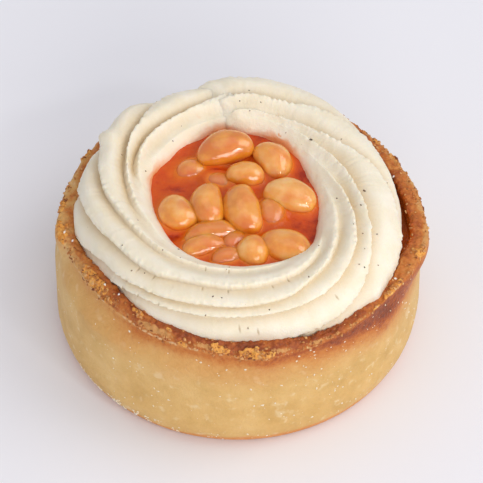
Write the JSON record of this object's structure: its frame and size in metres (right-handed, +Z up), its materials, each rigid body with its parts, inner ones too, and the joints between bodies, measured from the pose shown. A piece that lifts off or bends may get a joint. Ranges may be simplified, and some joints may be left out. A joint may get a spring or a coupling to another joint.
{
  "type": "baked bean and mash pie",
  "caption": "Round straight-sided hot-water pastry pie topped with a ridged ring of piped mashed potato, its hole filled with beans in tomato sauce.",
  "frame": {"origin": "centre of the flat base, on the surface the pie rests on", "axes": "+Z up through the pie, -Y towards the front of the picture, +X to the picture's right"},
  "size_m": [0.0983, 0.0976, 0.0493],
  "materials": {
    "pastry": "baked pale golden crust, browned rim",
    "potato": "smooth moist cream mash",
    "sauce": "wet tomato sauce",
    "bean": "wet glazed beans"
  },
  "bodies": {
    "root": {"pie_case": "pastry", "potato_ring": "potato", "sauce": "sauce", "bean_01": "bean", "bean_02": "bean", "bean_03": "bean", "bean_04": "bean", "bean_05": "bean", "bean_06": "bean", "bean_07": "bean", "bean_08": "bean", "bean_09": "bean", "bean_10": "bean", "bean_11": "bean", "bean_12": "bean", "bean_13": "bean", "bean_14": "bean", "bean_15": "bean", "bean_16": "bean"}
  },
  "joints": []
}
